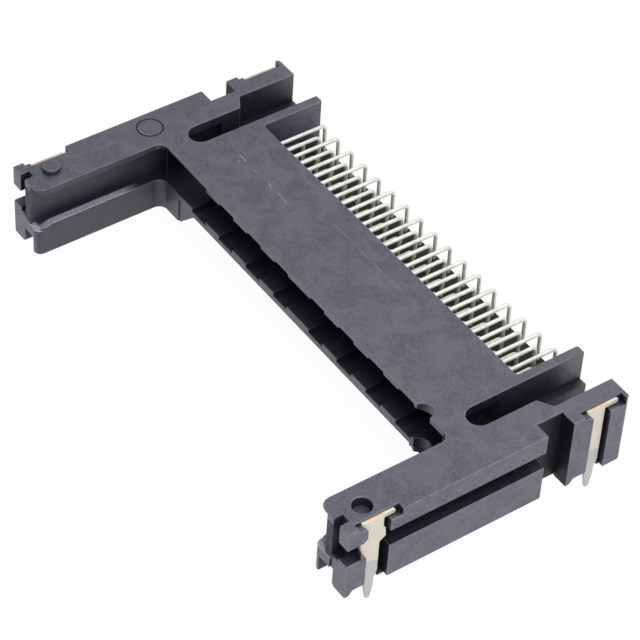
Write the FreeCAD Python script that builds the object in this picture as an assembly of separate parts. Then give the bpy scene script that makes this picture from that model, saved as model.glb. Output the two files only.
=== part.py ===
"""PC card socket with guide arms: moulded housing, pin contacts, tail aligner and board locks.

Frame: X runs along the pin rows, the card enters towards +Y, and Z = 0 is the circuit board.
Y = 0 is the front face of the connector body. All sizes are in millimetres.
"""

import FreeCAD, Part
import math
import os

# The card that the socket takes
CARD_WIDTH = 54.0
CARD_THICKNESS = 3.3
CARD_MID_Z = 6.115
CARD_SIDE_FIT = 0.15
CARD_TOP_FIT = 0.085
CARD_BOTTOM_FIT = 0.365

# Pin field
PIN_COUNT = 34
PIN_PITCH = 1.27
PIN_ROW_SPACING = 1.27
PIN_SIZE = 0.44
PIN_FIT = 0.01
PIN_NOSE_LENGTH = 0.4
PIN_NOSE_SIZE = 0.24
PIN_REACH_POWER = 5.0
PIN_REACH_SIGNAL = 4.25
PIN_REACH_DETECT = 3.5

# Tails of the contacts, bent down to the board in four staggered rows
UPPER_LONG_TAIL_Y = 18.05
UPPER_SHORT_TAIL_Y = 16.4
LOWER_LONG_TAIL_Y = 15.2
LOWER_SHORT_TAIL_Y = 13.5
TAIL_BEND_RADIUS = 0.65
TAIL_BEND_STEPS = 3
TAIL_BELOW_BOARD = 2.45

# Connector body
HOUSING_HEIGHT = 9.07
BODY_DEPTH = 10.76
BODY_UNDERSIDE_Z = 2.8
PIN_WALL_THICKNESS = 2.76
FLOOR_VALLEY_DEPTH = 0.5
LIP_PAD_HEIGHT = 0.7
LIP_VALLEY_HEIGHT = 0.4
LIP_LEFT_END_HEIGHT = 0.25
LIP_LEFT_END_X = 17.2
LIP_LEAD_IN = 0.9
PAD_WIDTH = 2.55
CENTRE_PAD_WIDTH = 4.0
PAD_PITCH = 5.1
PAD_FIRST_X = 5.7
PADS_PER_SIDE = 3
END_LAND_X = 19.75
FOOT_WIDTH = 3.18
FOOT_WEB_SETBACK = 0.15
LIP_BOTTOM_CHAMFER = 0.25
KEYWAY_X = 21.3
KEYWAY_RADIUS = 1.05

# Guide arms
LEDGE_WIDTH = 1.57
ARM_WALL = 1.55
RAIL_WIDTH = 1.9
ARM_REACH = 15.45
ARM_TAIL = 8.25
ARM_NOSE_RADIUS = 1.2
UNDERSIDE_GAP = 0.2
BODY_CORNER_RADIUS = 1.0
EDGE_RADIUS = 0.25
FLANGE_EDGE = 0.72
FLANGE_CHAMFER_WIDTH = 0.8
MOUTH_LENGTH = 1.65
MOUTH_DROP = 0.6
MOUTH_RISE = 1.02
SIDE_GROOVE_BOTTOM_Z = 4.6
SIDE_GROOVE_TOP_Z = 6.65
SIDE_GROOVE_SETBACK = 4.75

# Slots beside the body, open to the rear, and the posts behind them
FIELD_MARGIN = 1.295
INNER_WALL = 1.12
SLOT_WIDTH = 2.66
SLOT_FRONT_Y = 2.9
SLOT_STRAIGHT_END_Y = 10.25
SLOT_DIAGONAL_SLOPE = 0.62
NECK_END_Y = 11.4
REAR_Y = 18.45
POST_WIDTH = 2.95
POST_CORNER_RADIUS = 0.5
REAR_LEDGE_WIDTH = 0.94
REAR_LEDGE_TOP_Z = 5.35

# Front end of each arm: two hooks beside a slit, and a shelf below the groove
NOSE_SLIT_WIDTH = 0.96
NOSE_SLIT_DEPTH = 1.06
NOSE_SLIT_BOTTOM_Z = 4.1
NOSE_WALL = 1.0
NOSE_SHELF_REACH = 0.15
NOSE_SHELF_RADIUS = 0.8
NOSE_POCKET_START = 0.9
NOSE_POCKET_WIDTH = 2.0
NOSE_POCKET_DEPTH = 2.4
NOSE_POCKET_TOP_Z = 2.3
HOOK_GAP_BOTTOM_Z = 4.45
HOOK_GAP_TOP_Z = 6.7
HOOK_TOP_Z = 8.65
HOOK_RADIUS = 0.45
HOOK_FOOT_LENGTH = 0.55
HOOK_FOOT_SLOPE = 0.45
HOOK_RELIEF_Z = 0.6
SPUR_SETBACK = 0.25
SPUR_TOP_Z = 5.5
SPUR_ROOT_Z = 4.3

# Locating boss (left arm) and locating hole (right arm)
LOCATOR_SETBACK = 3.25
LOCATOR_INSET = 2.45
BOSS_RADIUS = 0.95
BOSS_HEIGHT = 0.5
HOLE_RADIUS = 1.05
HOLE_DEPTH = 2.2

# Board locks: four flat sheet clips in pockets at the ends of the arms
FRONT_LOCK_SETBACK = 1.95
REAR_LOCK_SETBACK = 4.9
LOCK_TOP_Z = 8.92
LOCK_THICKNESS = 0.3
LOCK_INSET = 0.55
LOCK_FIT = 0.02
LOCK_WIDTH = 2.25
LOCK_HEAD_EXTRA = 0.35
LOCK_TAB_REACH = 3.85
LOCK_TAB_HEIGHT = 0.57
LOCK_TAB_CHAMFER = 0.15
LOCK_BARB = 0.35
LOCK_BARB_TIP = 0.1
LOCK_BARB_TOP_Z = 7.08
LOCK_BARB_UPPER_Z = 6.86
LOCK_BARB_LOWER_Z = 5.67
LOCK_BARB_BOTTOM_Z = 5.14
LOCK_SHOULDER_TOP_Z = 5.3
LOCK_SHOULDER_MID_Z = 4.45
LOCK_SHOULDER_STEP = 0.25
LOCK_SHOULDER_BOTTOM_Z = 3.4
LOCK_HEEL_TOP_Z = 1.1
LOCK_HEEL_BOTTOM_Z = 0.2
LOCK_LEG_OFFSET = 0.82
LOCK_LEG_WIDTH = 1.08
LOCK_TAPER_Z = -0.75
LOCK_TIP_WIDTH = 0.4
FRONT_POCKET_LENGTH = 3.05
REAR_POCKET_LENGTH = 2.6
POCKET_NOTCH_LENGTH = 4.4
POCKET_NOTCH_Z = 8.2
POCKET_LIP = 0.45
POCKET_CROWN_LENGTH = 0.7
POCKET_VOID_DEPTH = 0.7
POCKET_WEB_Z = 0.45

# Tail aligner
ALIGNER_TOP_Z = 3.15
ALIGNER_THICKNESS = 2.2
ALIGNER_FRONT_GAP = 0.9
ALIGNER_FIT = 0.05
ALIGNER_HOLE_FIT = 0.03

# Stations worked out from the sizes above
ledge_z = CARD_MID_Z - CARD_THICKNESS / 2 - CARD_BOTTOM_FIT
groove_top_z = CARD_MID_Z + CARD_THICKNESS / 2 + CARD_TOP_FIT
groove_x = CARD_WIDTH / 2 + CARD_SIDE_FIT
arm_inner_x = groove_x - LEDGE_WIDTH
arm_wall_x = groove_x + ARM_WALL
arm_outer_x = arm_wall_x + RAIL_WIDTH
foot_x = arm_inner_x - FOOT_WIDTH
pin_wall_y = BODY_DEPTH - PIN_WALL_THICKNESS
pin_span = (PIN_COUNT - 1) * PIN_PITCH
field_x = pin_span / 2 + FIELD_MARGIN
slot_x = field_x + INNER_WALL
slot_outer_x = slot_x + SLOT_WIDTH
post_x = arm_outer_x - POST_WIDTH
lock_x = arm_outer_x - LOCK_INSET
locator_x = arm_outer_x - LOCATOR_INSET
locator_y = -ARM_REACH + LOCATOR_SETBACK
front_lock_y = -ARM_REACH + FRONT_LOCK_SETBACK
rear_lock_y = REAR_Y - REAR_LOCK_SETBACK
nose_z = ledge_z - MOUTH_DROP
upper_row_z = CARD_MID_Z + PIN_ROW_SPACING / 2
lower_row_z = CARD_MID_Z - PIN_ROW_SPACING / 2
MARGIN = 1.0


def vector(plane, a, b, depth=0.0):
    """Point at (a, b) in the XY, XZ or YZ plane, and at depth along the plane's normal."""
    places = {"XY": (a, b, depth), "XZ": (a, depth, b), "YZ": (depth, a, b)}
    return FreeCAD.Vector(*places[plane])


def outline(corners, plane, depth):
    """Closed wire through corners (a, b) or (a, b, radius), rounded where a radius is given."""
    points = [vector(plane, corner[0], corner[1], depth) for corner in corners]
    edges = []
    first = last = None
    for index, corner in enumerate(corners):
        here = points[index]
        radius = corner[2] if len(corner) > 2 else 0.0
        if radius == 0.0:
            enter = leave = here
        else:
            back = (points[index - 1] - here).normalize()
            ahead = (points[(index + 1) % len(points)] - here).normalize()
            half_angle = back.getAngle(ahead) / 2
            reach = radius / math.tan(half_angle)
            enter = here + back * reach
            leave = here + ahead * reach
            middle = (back + ahead).normalize() * (radius / math.sin(half_angle) - radius)
            arc = Part.Arc(enter, here + middle, leave)
        if last is not None and last.distanceToPoint(enter) > 1e-6:
            edges.append(Part.makeLine(last, enter))
        if radius != 0.0:
            edges.append(arc.toShape())
        first = enter if first is None else first
        last = leave
    if last.distanceToPoint(first) > 1e-6:
        edges.append(Part.makeLine(last, first))
    return Part.Wire(edges)


def prism(corners, plane, start, end):
    """Outline drawn in a plane and extruded along the plane's normal from start to end."""
    face = Part.Face(outline(corners, plane, start))
    return face.extrude(vector(plane, 0, 0, end - start))


def block(x, y, z):
    """Box between the two values given for each axis."""
    corners = [(x[0], y[0]), (x[1], y[0]), (x[1], y[1]), (x[0], y[1])]
    return prism(corners, "XY", z[0], z[1])


def cylinder(x, y, z, radius):
    """Upright cylinder between two heights."""
    axis = FreeCAD.Vector(0, 0, 1)
    return Part.makeCylinder(radius, z[1] - z[0], FreeCAD.Vector(x, y, z[0]), axis)


def mirrored(shape):
    """Copy of a shape on the other side of the socket's middle plane."""
    return shape.mirror(FreeCAD.Vector(0, 0, 0), FreeCAD.Vector(1, 0, 0))


def both_sides(shapes):
    """Right-hand shapes followed by their left-hand copies."""
    return list(shapes) + [mirrored(shape) for shape in shapes]


def housing_blank():
    """Right half of the housing seen from above, at full height, with the shelf at the arm's nose."""
    plan = [
        (0, 0),
        (arm_inner_x, 0, BODY_CORNER_RADIUS),
        (arm_inner_x, -ARM_REACH, ARM_NOSE_RADIUS),
        (arm_outer_x, -ARM_REACH),
        (arm_outer_x, ARM_TAIL),
        (arm_wall_x, ARM_TAIL),
        (arm_wall_x, NECK_END_Y),
        (arm_outer_x, NECK_END_Y),
        (arm_outer_x, REAR_Y, POST_CORNER_RADIUS),
        (field_x, REAR_Y, EDGE_RADIUS),
        (field_x, BODY_DEPTH, EDGE_RADIUS),
        (0, BODY_DEPTH),
    ]
    shelf_x = groove_x + NOSE_WALL
    shelf = [
        (arm_inner_x, -ARM_REACH - NOSE_SHELF_REACH, NOSE_SHELF_RADIUS),
        (shelf_x, -ARM_REACH - NOSE_SHELF_REACH),
        (shelf_x, -ARM_REACH + ARM_NOSE_RADIUS),
        (arm_inner_x, -ARM_REACH + ARM_NOSE_RADIUS),
    ]
    return prism(plan, "XY", 0, HOUSING_HEIGHT).fuse(prism(shelf, "XY", 0, nose_z))


def pad_edges():
    """Left and right edge of every pad on the lips of the card mouth, from left to right."""
    centres = [PAD_FIRST_X + PAD_PITCH * index for index in range(PADS_PER_SIDE)]
    edges = [(-CENTRE_PAD_WIDTH / 2, CENTRE_PAD_WIDTH / 2)]
    for centre in centres:
        edges.append((centre - PAD_WIDTH / 2, centre + PAD_WIDTH / 2))
        edges.append((-centre - PAD_WIDTH / 2, -centre + PAD_WIDTH / 2))
    return sorted(edges)


def lip_valleys():
    """Spans along X between the pads, out to the end lands."""
    pads = [(-END_LAND_X - MARGIN, -END_LAND_X)] + pad_edges() + [(END_LAND_X, END_LAND_X + MARGIN)]
    return [(left[1], right[0]) for left, right in zip(pads, pads[1:])]


def card_passage():
    """Space that the card slides through: grooves of the arms, then the cavity of the body."""
    flange_z = HOUSING_HEIGHT - FLANGE_EDGE
    chamfer_x = arm_inner_x + FLANGE_CHAMFER_WIDTH
    open_z = groove_top_z + MARGIN
    open_x = chamfer_x - FLANGE_CHAMFER_WIDTH * (open_z - groove_top_z) / (flange_z - groove_top_z)
    groove = [
        (open_x, ledge_z),
        (groove_x, ledge_z),
        (groove_x, groove_top_z),
        (chamfer_x, groove_top_z),
        (open_x, open_z),
    ]
    arm_part = prism(groove, "XZ", -ARM_REACH - MARGIN, 0)
    body_part = block((-groove_x, groove_x), (0, pin_wall_y), (ledge_z, groove_top_z))
    return both_sides([arm_part]) + [body_part]


def mouth_flares():
    """Wedges that widen the front of both grooves, so that the card finds its way in."""
    front_y = -ARM_REACH
    rise = [
        (front_y - MARGIN, groove_top_z + MOUTH_RISE * (1 + MARGIN / MOUTH_LENGTH)),
        (front_y - MARGIN, groove_top_z),
        (front_y + MOUTH_LENGTH, groove_top_z),
    ]
    drop = [
        (front_y - MARGIN, nose_z),
        (front_y, nose_z),
        (front_y + MOUTH_LENGTH, ledge_z),
        (front_y - MARGIN, ledge_z),
    ]
    upper = prism(rise, "YZ", arm_inner_x - MARGIN, groove_x)
    lower = prism(drop, "YZ", arm_inner_x - MARGIN, groove_x)
    return both_sides([upper, lower])


def lip_relief():
    """Lead-ins of the body's mouth, with valleys between the pads of both lips."""
    pad_z = HOUSING_HEIGHT - LIP_PAD_HEIGHT

    def lead_in(span, top_z):
        run = LIP_LEAD_IN * (top_z - groove_top_z) / (pad_z - groove_top_z)
        wedge = [(0, groove_top_z), (0, top_z), (run, groove_top_z)]
        return prism(wedge, "YZ", span[0], span[1])

    cuts = [lead_in((-arm_inner_x, arm_inner_x), pad_z)]
    cuts.append(lead_in((-arm_inner_x, -LIP_LEFT_END_X), HOUSING_HEIGHT - LIP_LEFT_END_HEIGHT))
    for span in lip_valleys():
        cuts.append(lead_in(span, HOUSING_HEIGHT - LIP_VALLEY_HEIGHT))
        cuts.append(block(span, (-MARGIN, pin_wall_y), (ledge_z - FLOOR_VALLEY_DEPTH, ledge_z)))
    return cuts


def underside_relief():
    """Space under the body between its two feet, which slope up to the underside."""
    slope_x = foot_x - BODY_UNDERSIDE_Z
    arch = [
        (-foot_x, 0),
        (-slope_x, BODY_UNDERSIDE_Z),
        (slope_x, BODY_UNDERSIDE_Z),
        (foot_x, 0),
        (foot_x, -MARGIN),
        (-foot_x, -MARGIN),
    ]
    web = [
        (foot_x, -MARGIN),
        (foot_x, ledge_z - FLOOR_VALLEY_DEPTH - FOOT_WEB_SETBACK),
        (END_LAND_X, BODY_UNDERSIDE_Z),
        (END_LAND_X, -MARGIN),
    ]
    setback = prism(web, "XZ", -MARGIN, FOOT_WEB_SETBACK)
    chamfer_z = BODY_UNDERSIDE_Z + LIP_BOTTOM_CHAMFER
    chamfer = prism([(0, BODY_UNDERSIDE_Z), (0, chamfer_z), (LIP_BOTTOM_CHAMFER, BODY_UNDERSIDE_Z)],
                    "YZ", -slope_x, slope_x)
    return [prism(arch, "XZ", -MARGIN, BODY_DEPTH + MARGIN), chamfer] + both_sides([setback])


def board_clearance():
    """Space under the arms, rails and posts, which touch the board only with their front feet."""
    x = (arm_wall_x, arm_outer_x + MARGIN)
    nose_y = -ARM_REACH - NOSE_SHELF_REACH - MARGIN
    front_lip_y = front_lock_y + POCKET_LIP
    rear_lip_y = rear_lock_y + POCKET_LIP

    def behind_foot(front_y, lip_y):
        foot_y = front_y + HOOK_FOOT_LENGTH
        profile = [
            (foot_y, -MARGIN),
            (foot_y, 0),
            (foot_y + HOOK_FOOT_SLOPE, HOOK_RELIEF_Z),
            (lip_y, HOOK_RELIEF_Z),
            (lip_y, -MARGIN),
        ]
        return prism(profile, "YZ", *x)

    return both_sides([
        block((0, arm_wall_x), (nose_y, REAR_Y + MARGIN), (-MARGIN, UNDERSIDE_GAP)),
        behind_foot(-ARM_REACH, front_lip_y),
        block(x, (front_lip_y, NECK_END_Y), (-MARGIN, UNDERSIDE_GAP)),
        behind_foot(NECK_END_Y, rear_lip_y),
        block(x, (rear_lip_y, REAR_Y + MARGIN), (-MARGIN, UNDERSIDE_GAP)),
    ])


def side_slots():
    """Slots beside the body with a round front end, and the open channels behind them."""
    radius = SLOT_WIDTH / 2
    rear_y = REAR_Y + MARGIN
    top_z = HOUSING_HEIGHT + MARGIN
    diagonal_y = SLOT_STRAIGHT_END_Y + (post_x - slot_outer_x) * SLOT_DIAGONAL_SLOPE
    upper = [
        (slot_x, SLOT_FRONT_Y, radius),
        (slot_outer_x, SLOT_FRONT_Y, radius),
        (slot_outer_x, SLOT_STRAIGHT_END_Y),
        (post_x, diagonal_y),
        (post_x, rear_y),
        (slot_x, rear_y),
    ]
    deep = [
        (slot_x, SLOT_FRONT_Y, radius),
        (slot_outer_x, SLOT_FRONT_Y, radius),
        (slot_outer_x, SLOT_STRAIGHT_END_Y),
        (slot_outer_x, diagonal_y),
        (slot_x, diagonal_y),
    ]
    gap_x = (slot_x + REAR_LEDGE_WIDTH, post_x - REAR_LEDGE_WIDTH)
    through = block(gap_x, (diagonal_y, rear_y), (-MARGIN, REAR_LEDGE_TOP_Z))
    return both_sides([
        prism(upper, "XY", REAR_LEDGE_TOP_Z, top_z),
        prism(deep, "XY", ledge_z, REAR_LEDGE_TOP_Z),
        through,
    ])


def outer_grooves():
    """Long grooves along the outer faces of the arms, open at the rear."""
    z = (SIDE_GROOVE_BOTTOM_Z, SIDE_GROOVE_TOP_Z)
    y = (-ARM_REACH + SIDE_GROOVE_SETBACK, ARM_TAIL + MARGIN)
    return both_sides([block((arm_wall_x, arm_outer_x + MARGIN), y, z)])


def nose_cuts():
    """Slit, gap and lower pocket that leave two hooks at the front end of each arm."""
    front_y = -ARM_REACH - MARGIN
    sheet_y = front_lock_y - LOCK_FIT
    lip_y = front_lock_y + POCKET_LIP
    spur_y = front_lock_y - SPUR_SETBACK
    outer_x = lock_x + LOCK_FIT
    slit_x = (groove_x + NOSE_WALL, groove_x + NOSE_WALL + NOSE_SLIT_WIDTH)
    slit = block(slit_x, (front_y, -ARM_REACH + NOSE_SLIT_DEPTH),
                 (NOSE_SLIT_BOTTOM_Z, HOUSING_HEIGHT + MARGIN))
    gap = block((slit_x[0], outer_x), (front_y, sheet_y), (HOOK_GAP_BOTTOM_Z, HOOK_GAP_TOP_Z))
    outer_gap = [
        (front_y, HOOK_GAP_BOTTOM_Z),
        (spur_y, HOOK_GAP_BOTTOM_Z),
        (spur_y, SPUR_TOP_Z),
        (lip_y, SPUR_ROOT_Z),
        (lip_y, HOOK_GAP_TOP_Z + HOOK_RADIUS),
        (lip_y - HOOK_RADIUS, HOOK_GAP_TOP_Z),
        (front_y, HOOK_GAP_TOP_Z),
    ]
    pocket_x = arm_inner_x + NOSE_POCKET_START
    pocket = block((pocket_x, pocket_x + NOSE_POCKET_WIDTH),
                   (front_y, -ARM_REACH - NOSE_SHELF_REACH + NOSE_POCKET_DEPTH),
                   (-MARGIN, NOSE_POCKET_TOP_Z))
    return both_sides([slit, gap, prism(outer_gap, "YZ", outer_x, arm_outer_x + MARGIN), pocket])


def lock_pocket(lock_y, length):
    """Pocket of one board lock: sheet slot, window in the outer face, tab notch and dark void."""
    inner_x = lock_x - LOCK_THICKNESS - LOCK_FIT
    outer_x = lock_x + LOCK_FIT
    beyond_x = arm_outer_x + MARGIN
    above_z = HOUSING_HEIGHT + MARGIN
    front_y = lock_y - LOCK_FIT
    leg_y = lock_y + LOCK_WIDTH + LOCK_FIT
    lip_y = lock_y + POCKET_LIP
    rear_y = lock_y + length
    crown_y = lock_y - POCKET_CROWN_LENGTH
    sheet = block((inner_x, outer_x), (front_y, rear_y), (POCKET_WEB_Z, above_z))
    leg_hole = block((inner_x, outer_x), (front_y, leg_y), (-MARGIN, POCKET_WEB_Z))
    window = block((outer_x, beyond_x), (lip_y, rear_y), (-MARGIN, above_z))
    notch = block((inner_x, beyond_x), (rear_y, lock_y + POCKET_NOTCH_LENGTH),
                  (POCKET_NOTCH_Z, above_z))
    void = block((inner_x - POCKET_VOID_DEPTH, inner_x), (leg_y, rear_y),
                 (POCKET_WEB_Z, POCKET_NOTCH_Z))
    crown = [
        (crown_y, above_z),
        (crown_y, HOOK_TOP_Z),
        (lip_y - HOOK_RADIUS, HOOK_TOP_Z),
        (lip_y, HOOK_TOP_Z - HOOK_RADIUS),
        (lip_y, above_z),
    ]
    crown_cut = prism(crown, "YZ", outer_x, beyond_x)
    sheet_crown = block((inner_x, outer_x), (crown_y, front_y), (HOOK_TOP_Z, above_z))
    return [sheet, leg_hole, window, notch, void, crown_cut, sheet_crown]


def housing():
    """Moulded housing: connector body, guide arms, posts and inner walls in one piece."""
    blank = housing_blank()
    solid = blank.fuse(mirrored(blank))
    cuts = card_passage() + mouth_flares() + lip_relief() + underside_relief()
    cuts += board_clearance() + side_slots() + outer_grooves() + nose_cuts()
    cuts += both_sides(lock_pocket(front_lock_y, FRONT_POCKET_LENGTH))
    cuts += both_sides(lock_pocket(rear_lock_y, REAR_POCKET_LENGTH))
    cuts.append(cylinder(KEYWAY_X, 0, (BODY_UNDERSIDE_Z - MARGIN, HOUSING_HEIGHT + MARGIN),
                         KEYWAY_RADIUS))
    cuts.append(cylinder(locator_x, locator_y,
                         (HOUSING_HEIGHT - HOLE_DEPTH, HOUSING_HEIGHT + MARGIN), HOLE_RADIUS))
    cuts += [pin_hole(column, row_z) for column in range(PIN_COUNT)
             for row_z in (upper_row_z, lower_row_z)]
    solid = solid.cut(cuts)
    boss = cylinder(-locator_x, locator_y,
                    (HOUSING_HEIGHT - BOSS_HEIGHT, HOUSING_HEIGHT + BOSS_HEIGHT), BOSS_RADIUS)
    return solid.fuse(boss).removeSplitter()


def column_x(column):
    """Place of a contact column along the pin rows, counted from the left."""
    return (column - (PIN_COUNT - 1) / 2) * PIN_PITCH


def pin_hole(column, row_z):
    """Square hole through the pin wall for one contact."""
    half = PIN_SIZE / 2 + PIN_FIT
    x = column_x(column)
    return block((x - half, x + half), (pin_wall_y - MARGIN, BODY_DEPTH + MARGIN),
                 (row_z - half, row_z + half))


def wire_section(centre, side, size):
    """Corners of an eight-sided wire section, with one axis along X and the other along side."""
    reach = size / 2 / math.cos(math.pi / 8)
    points = []
    for corner in range(8):
        angle = math.pi / 8 + corner * math.pi / 4
        offset = FreeCAD.Vector(reach * math.cos(angle), 0, 0) + side * (reach * math.sin(angle))
        points.append(centre + offset)
    return points


def skinned(sections):
    """Solid with flat faces from each section to the next, closed by the first and the last."""
    loops = [sections[0], sections[-1]]
    for near, far in zip(sections, sections[1:]):
        for index in range(len(near)):
            loops.append([near[index - 1], near[index], far[index], far[index - 1]])
    faces = [Part.Face(Part.makePolygon(loop + loop[:1])) for loop in loops]
    return Part.makeSolid(Part.makeShell(faces))


def bend_sections(x, tail_y, row_z):
    """Mitred sections that turn the wire from its row down into its tail."""
    centre = FreeCAD.Vector(x, tail_y - TAIL_BEND_RADIUS, row_z - TAIL_BEND_RADIUS)
    half_step = math.pi / 4 / TAIL_BEND_STEPS
    sections = []
    for step in range(TAIL_BEND_STEPS):
        angle = (2 * step + 1) * half_step
        outward = FreeCAD.Vector(0, math.sin(angle), math.cos(angle)) * (1 / math.cos(half_step))
        sections.append(wire_section(centre + outward * TAIL_BEND_RADIUS, outward, PIN_SIZE))
    return sections


def contact(column, row_z, reach, tail_y):
    """One contact: nose, straight pin through the wall, bend, and tail down through the board."""
    x = column_x(column)
    up = FreeCAD.Vector(0, 0, 1)
    rearward = FreeCAD.Vector(0, 1, 0)
    tip = FreeCAD.Vector(x, pin_wall_y - reach, row_z)
    shoulder = tip + rearward * PIN_NOSE_LENGTH
    foot = FreeCAD.Vector(x, tail_y, -TAIL_BELOW_BOARD)
    sections = [wire_section(tip, up, PIN_NOSE_SIZE), wire_section(shoulder, up, PIN_SIZE)]
    sections += bend_sections(x, tail_y, row_z)
    sections.append(wire_section(foot, rearward, PIN_SIZE))
    return skinned(sections)


def upper_reach(column):
    """Mating length of an upper-row pin: the end pins and the middle one carry power first."""
    return PIN_REACH_POWER if column in (0, PIN_COUNT // 2 - 1, PIN_COUNT - 1) else PIN_REACH_SIGNAL


def lower_reach(column):
    """Mating length of a lower-row pin: the pins next to the ends sense the card last."""
    if column in (1, PIN_COUNT - 2):
        return PIN_REACH_DETECT
    return upper_reach(column)


def contact_pair(column):
    """Upper and lower contact of one column, with long and short tails in turn."""
    long_tails = column % 2 == 0
    upper_y = UPPER_LONG_TAIL_Y if long_tails else UPPER_SHORT_TAIL_Y
    lower_y = LOWER_LONG_TAIL_Y if long_tails else LOWER_SHORT_TAIL_Y
    upper = contact(column, upper_row_z, upper_reach(column), upper_y)
    lower = contact(column, lower_row_z, lower_reach(column), lower_y)
    return Part.makeCompound([upper, lower])


def tail_aligner():
    """Plate between the inner walls with a hole for every tail."""
    half_width = field_x - ALIGNER_FIT
    bottom_z = ALIGNER_TOP_Z - ALIGNER_THICKNESS
    plate = block((-half_width, half_width), (BODY_DEPTH + ALIGNER_FRONT_GAP, REAR_Y),
                  (bottom_z, ALIGNER_TOP_Z))
    half = PIN_SIZE / 2 + ALIGNER_HOLE_FIT
    holes = []
    for column in range(PIN_COUNT):
        x = column_x(column)
        rows = (UPPER_LONG_TAIL_Y, LOWER_LONG_TAIL_Y)
        if column % 2:
            rows = (UPPER_SHORT_TAIL_Y, LOWER_SHORT_TAIL_Y)
        for y in rows:
            holes.append(block((x - half, x + half), (y - half, y + half),
                               (bottom_z - MARGIN, ALIGNER_TOP_Z + MARGIN)))
    return plate.cut(holes)


def board_lock(lock_y, barbed):
    """Right-hand board lock: one flat sheet with a tab at the top and a leg through the board."""
    body_y = lock_y + LOCK_WIDTH
    head_y = body_y + (LOCK_HEAD_EXTRA if barbed else 0)
    tab_y = lock_y + LOCK_TAB_REACH
    tab_z = LOCK_TOP_Z - LOCK_TAB_HEIGHT
    leg_front = lock_y + LOCK_LEG_OFFSET
    leg_rear = leg_front + LOCK_LEG_WIDTH
    tip_front = (leg_front + leg_rear - LOCK_TIP_WIDTH) / 2
    profile = [
        (lock_y, LOCK_TOP_Z),
        (tab_y - LOCK_TAB_CHAMFER, LOCK_TOP_Z),
        (tab_y, LOCK_TOP_Z - LOCK_TAB_CHAMFER),
        (tab_y, tab_z + LOCK_TAB_CHAMFER),
        (tab_y - LOCK_TAB_CHAMFER, tab_z),
        (head_y, tab_z),
    ]
    if barbed:
        profile += [(head_y, LOCK_BARB_TOP_Z),
                    (head_y + LOCK_BARB - LOCK_BARB_TIP, LOCK_BARB_UPPER_Z),
                    (head_y + LOCK_BARB, LOCK_BARB_LOWER_Z),
                    (body_y, LOCK_BARB_BOTTOM_Z)]
    profile += [
        (body_y, LOCK_HEEL_TOP_Z),
        (leg_rear, LOCK_HEEL_BOTTOM_Z),
        (leg_rear, LOCK_TAPER_Z),
        (tip_front + LOCK_TIP_WIDTH, -TAIL_BELOW_BOARD),
        (tip_front, -TAIL_BELOW_BOARD),
        (leg_front, LOCK_TAPER_Z),
        (leg_front, LOCK_SHOULDER_BOTTOM_Z),
        (lock_y + LOCK_SHOULDER_STEP, LOCK_SHOULDER_MID_Z),
        (lock_y, LOCK_SHOULDER_TOP_Z),
    ]
    return prism(profile, "YZ", lock_x - LOCK_THICKNESS, lock_x)


def build():
    """All nodes of the socket by name."""
    nodes = {"housing": housing(), "tail_aligner": tail_aligner()}
    for name, lock_y, barbed in (("front", front_lock_y, True), ("rear", rear_lock_y, False)):
        lock = board_lock(lock_y, barbed)
        nodes[f"{name}_board_lock_right"] = lock
        nodes[f"{name}_board_lock_left"] = mirrored(lock)
    for column in range(PIN_COUNT):
        nodes[f"contact_pair_{column + 1:02d}"] = contact_pair(column)
    return nodes


os.makedirs("parts", exist_ok=True)
for node_name, node_shape in build().items():
    node_shape.exportStep(f"parts/{node_name}.step")
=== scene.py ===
"""Photographic look of a PC card socket on a white table.

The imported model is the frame. The moulded housing and the board locks are copies of their
nodes with softened edges, the contacts are round wires, and every finish is procedural.
"""

import logging
import math
from abc import ABC, abstractmethod
from dataclasses import dataclass
from enum import Enum
from typing import Callable, Iterable, Sequence

import bmesh
import bpy
from mathutils import Matrix, Vector
from mathutils.geometry import area_tri, intersect_line_line_2d, tessellate_polygon
from mathutils.kdtree import KDTree


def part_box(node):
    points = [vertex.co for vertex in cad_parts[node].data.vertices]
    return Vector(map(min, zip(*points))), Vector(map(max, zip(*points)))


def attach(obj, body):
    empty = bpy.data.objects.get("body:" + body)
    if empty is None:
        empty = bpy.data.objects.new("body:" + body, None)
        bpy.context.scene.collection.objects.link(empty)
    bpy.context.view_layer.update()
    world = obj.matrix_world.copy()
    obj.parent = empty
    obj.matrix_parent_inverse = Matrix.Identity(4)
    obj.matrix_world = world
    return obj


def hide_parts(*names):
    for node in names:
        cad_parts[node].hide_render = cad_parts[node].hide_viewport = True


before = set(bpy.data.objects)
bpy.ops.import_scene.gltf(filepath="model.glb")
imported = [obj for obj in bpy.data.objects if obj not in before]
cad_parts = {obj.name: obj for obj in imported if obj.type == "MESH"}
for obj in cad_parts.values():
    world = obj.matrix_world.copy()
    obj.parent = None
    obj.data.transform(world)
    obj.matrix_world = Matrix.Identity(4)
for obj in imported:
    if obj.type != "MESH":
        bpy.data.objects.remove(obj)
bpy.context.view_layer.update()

LOG = logging.getLogger("card_socket")
MM = 0.001
BODY = "root"
MERGE_GAP = 0.002
FLAT_TURN = 0.6
FACE_CREASE = 24.0
ROUNDING_CREASE = 50.0
Colour = tuple[float, float, float]
Place = tuple[float, float, float]
Socket = bpy.types.NodeSocket


class TailLength(Enum):
    """Which columns of the contact field a set of wires fills."""

    LONG = 0
    SHORT = 1


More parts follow.
